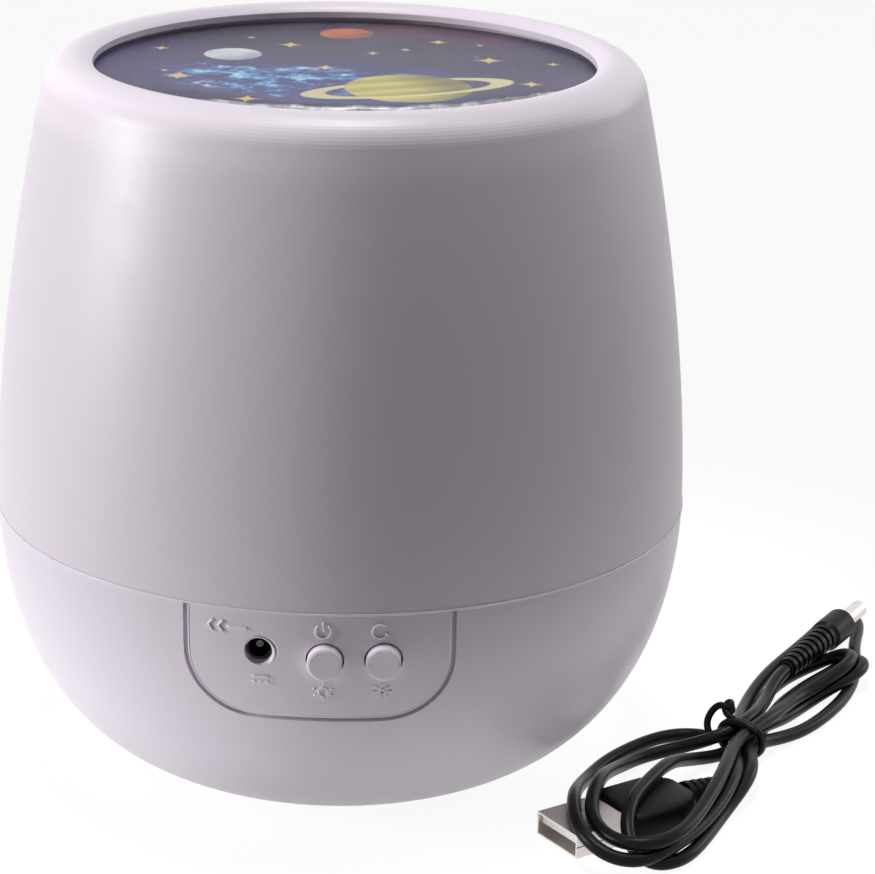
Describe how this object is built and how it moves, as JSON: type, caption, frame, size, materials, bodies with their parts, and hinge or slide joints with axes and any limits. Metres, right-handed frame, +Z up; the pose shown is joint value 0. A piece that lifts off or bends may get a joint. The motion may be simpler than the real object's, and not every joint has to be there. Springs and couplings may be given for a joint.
{
  "type": "star night light projector",
  "caption": "Bowl-shaped star projector night light with a twist-off milky shade, printed sky film window, control panel with push buttons and a tied power cable.",
  "frame": {"origin": "on the floor under the lamp's vertical axis", "axes": "+Z up along the lamp's axis, -Y towards the side with the control panel, +X to the right seen from that side"},
  "size_m": [0.1773, 0.1378, 0.135],
  "materials": {
    "bowl": "glossy lavender-white moulded plastic",
    "panel": "glossy moulded plastic",
    "shade": "satin milky plastic that passes light",
    "button": "glossy caps",
    "window": "clear plastic window",
    "sky_print": "printed film",
    "white_plastic": "plain moulding",
    "clear_dome": "clear plastic dome",
    "star_print": "printed film",
    "gear_plastic": "natural acetal",
    "steel": "nickel plate",
    "motor_can": "plated steel can",
    "circuit_board": "green solder mask",
    "lamp_board": "white solder mask",
    "lamp": "lamp lens over phosphor",
    "black_plastic": "black moulding",
    "rubber_foot": "soft rubber",
    "red_wire": "insulation",
    "black_wire": "insulation",
    "cable_jacket": "satin black jacket",
    "plug_metal": "nickel plate",
    "tongue": "white insulator"
  },
  "bodies": {
    "root": {"base_shell": "bowl", "control_panel": "panel", "bottom_plate": "panel", "rubber_feet": "rubber_foot", "contact_plates": "steel", "contact_springs": "steel", "deck": "white_plastic", "gear_motor": "motor_can", "led_post": "white_plastic", "led_board": "lamp_board", "projection_led": "lamp", "ring_leds": "lamp", "control_board": "circuit_board", "board_parts": "black_plastic", "tact_switches": "black_plastic", "dc_jack": "black_plastic", "dc_jack_pin": "steel", "deck_screws": "steel", "plate_screws": "steel", "motor_screws": "steel", "board_screws": "steel", "red_leads": "red_wire", "black_leads": "black_wire", "cable_hank": "cable_jacket", "cable_tie": "cable_jacket", "usb_shell": "plug_metal", "usb_tongue": "tongue", "usb_overmould": "cable_jacket", "usb_strain_relief": "cable_jacket", "dc_plug_barrel": "plug_metal", "dc_plug_overmould": "cable_jacket", "dc_strain_relief": "cable_jacket"},
    "shade": {"shade": "shade", "window_lens": "window", "sky_film": "sky_print", "film_ring": "white_plastic"},
    "turntable": {"turntable": "gear_plastic", "projection_dome": "clear_dome", "star_film": "star_print"},
    "pinion": {"drive_pinion": "gear_plastic", "motor_shaft": "steel"},
    "power_button": {"power_button": "button"},
    "mode_button": {"mode_button": "button"},
    "battery_door": {"battery_door": "panel"}
  },
  "joints": [
    {"name": "shade_twist", "type": "hinge", "parent": "root", "child": "shade", "pos_m": [0, 0, 0.0507], "axis": [0, 0, 1], "range_deg": [-18, 0]},
    {"name": "turntable_spin", "type": "hinge", "parent": "root", "child": "turntable", "pos_m": [0, 0, 0.048], "axis": [0, 0, 1], "continuous": true},
    {"name": "pinion_spin", "type": "hinge", "parent": "root", "child": "pinion", "pos_m": [0, 0.0296, 0.047], "axis": [0, 0, 1], "continuous": true},
    {"name": "power_press", "type": "slide", "parent": "root", "child": "power_button", "axis": [0, 1, 0], "range_m": [0, 0.001], "stiffness_N_per_m": 500},
    {"name": "mode_press", "type": "slide", "parent": "root", "child": "mode_button", "axis": [0, 1, 0], "range_m": [0, 0.001], "stiffness_N_per_m": 500},
    {"name": "door_swing", "type": "hinge", "parent": "root", "child": "battery_door", "pos_m": [0, 0.02375, 0.002], "axis": [1, 0, 0], "range_deg": [0, 80]}
  ],
  "couplings": [
    {"joint": "pinion_spin", "follows": "turntable_spin", "ratio": -4.2857}
  ]
}
